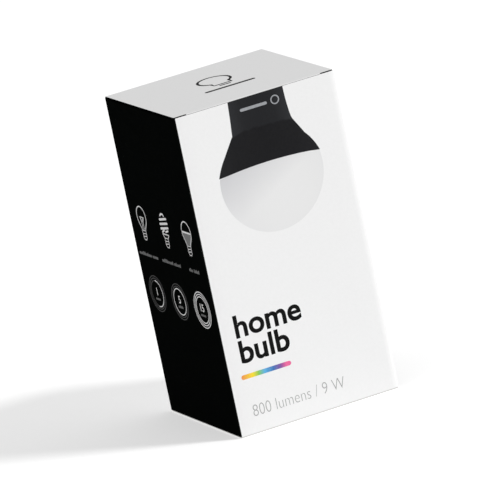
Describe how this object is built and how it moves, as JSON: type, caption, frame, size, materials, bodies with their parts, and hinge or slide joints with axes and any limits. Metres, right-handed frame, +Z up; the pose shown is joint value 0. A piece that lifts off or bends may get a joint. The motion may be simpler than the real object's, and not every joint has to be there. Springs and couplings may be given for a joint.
{
  "type": "boxed smart light bulb",
  "caption": "Tuck-end paperboard carton holding a screw-base smart bulb, base up, in two card inserts; the lid, tongue and dust flaps fold open and the bulb lifts out.",
  "frame": {"origin": "centre of the carton's footprint, on the plane it stands on", "axes": "+Z up along the carton's height, -Y out of the printed front, +X to the right of someone who looks at the front"},
  "size_m": [0.064, 0.062, 0.12],
  "materials": {
    "white_board": "satin",
    "black_board": "satin",
    "insert_card": "matte",
    "ink_black": "satin",
    "ink_grey": "satin",
    "ink_white": "satin",
    "ink_colour": "satin",
    "opal_plastic": "satin",
    "black_plastic": "satin",
    "aluminium": "satin",
    "nickel_plate": "polished",
    "brass": "polished",
    "steel": "satin",
    "white_solder_mask": "satin",
    "green_solder_mask": "satin",
    "silicone_pad": "matte",
    "phosphor": "satin",
    "led_lens": "gloss",
    "ferrite": "matte",
    "polyester_tape": "gloss",
    "capacitor_sleeve": "gloss",
    "film_capacitor_shell": "gloss",
    "chip_moulding": "matte",
    "resistor_cement": "matte",
    "connector_nylon": "satin",
    "red_insulation": "satin",
    "white_insulation": "satin",
    "black_glass": "gloss"
  },
  "bodies": {
    "carton": {"front_panel": "white_board", "back_panel": "white_board", "left_panel": "black_board", "right_panel": "black_board", "glue_flap": "white_board", "bottom_outer_panel": "white_board", "bottom_inner_panel": "white_board", "bottom_dust_flap_left": "black_board", "bottom_dust_flap_right": "black_board", "bulb_cradle": "insert_card"},
    "lid": {"lid_panel": "white_board"},
    "tongue": {"tuck_tongue": "white_board"},
    "left_flap": {"dust_flap_left": "black_board"},
    "right_flap": {"dust_flap_right": "black_board"},
    "bulb": {"neck_collar": "insert_card", "diffuser_dome": "opal_plastic", "bulb_housing": "black_plastic", "heat_sink": "aluminium", "thermal_pad": "silicone_pad", "led_board": "white_solder_mask", "white_led_1": "phosphor", "white_led_2": "phosphor", "white_led_3": "phosphor", "white_led_4": "phosphor", "white_led_5": "phosphor", "white_led_6": "phosphor", "white_led_7": "phosphor", "white_led_8": "phosphor", "white_led_9": "phosphor", "white_led_10": "phosphor", "colour_led_1": "led_lens", "colour_led_2": "led_lens", "colour_led_3": "led_lens", "colour_led_4": "led_lens", "board_screw_1": "steel", "board_screw_2": "steel", "driver_board": "green_solder_mask", "transformer_core": "ferrite", "transformer_winding": "polyester_tape", "bulk_capacitor": "capacitor_sleeve", "filter_capacitor": "capacitor_sleeve", "film_capacitor": "film_capacitor_shell", "drum_inductor": "ferrite", "bridge_rectifier": "chip_moulding", "fuse_resistor": "resistor_cement", "controller_chip": "chip_moulding", "led_connector": "connector_nylon", "wifi_board": "green_solder_mask", "wifi_shield": "steel", "live_lead": "red_insulation", "neutral_lead": "white_insulation", "screw_shell": "nickel_plate", "base_insulator": "black_glass", "centre_contact": "brass"}
  },
  "joints": [
    {"name": "bulb_lift", "type": "slide", "parent": "carton", "child": "bulb", "axis": [0, 0, 1], "range_m": [0, 0.112]},
    {"name": "lid_fold", "type": "hinge", "parent": "carton", "child": "lid", "pos_m": [0, 0.031, 0.12], "axis": [-1, 0, 0], "range_deg": [0, 174.8]},
    {"name": "tongue_fold", "type": "hinge", "parent": "lid", "child": "tongue", "pos_m": [0, -0.0302, 0.12], "axis": [-1, 0, 0], "range_deg": [0, 34.4]},
    {"name": "left_flap_fold", "type": "hinge", "parent": "carton", "child": "left_flap", "pos_m": [-0.032, 0, 0.11925], "axis": [0, -1, 0], "range_deg": [0, 163.3]},
    {"name": "right_flap_fold", "type": "hinge", "parent": "carton", "child": "right_flap", "pos_m": [0.032, 0, 0.11925], "axis": [0, 1, 0], "range_deg": [0, 163.3]}
  ],
  "couplings": [
    {"joint": "lid_fold", "follows": "bulb_lift", "rad_per_m": 27.232},
    {"joint": "tongue_fold", "follows": "bulb_lift", "rad_per_m": 5.3571},
    {"joint": "left_flap_fold", "follows": "bulb_lift", "rad_per_m": 25.446},
    {"joint": "right_flap_fold", "follows": "bulb_lift", "rad_per_m": 25.446}
  ]
}
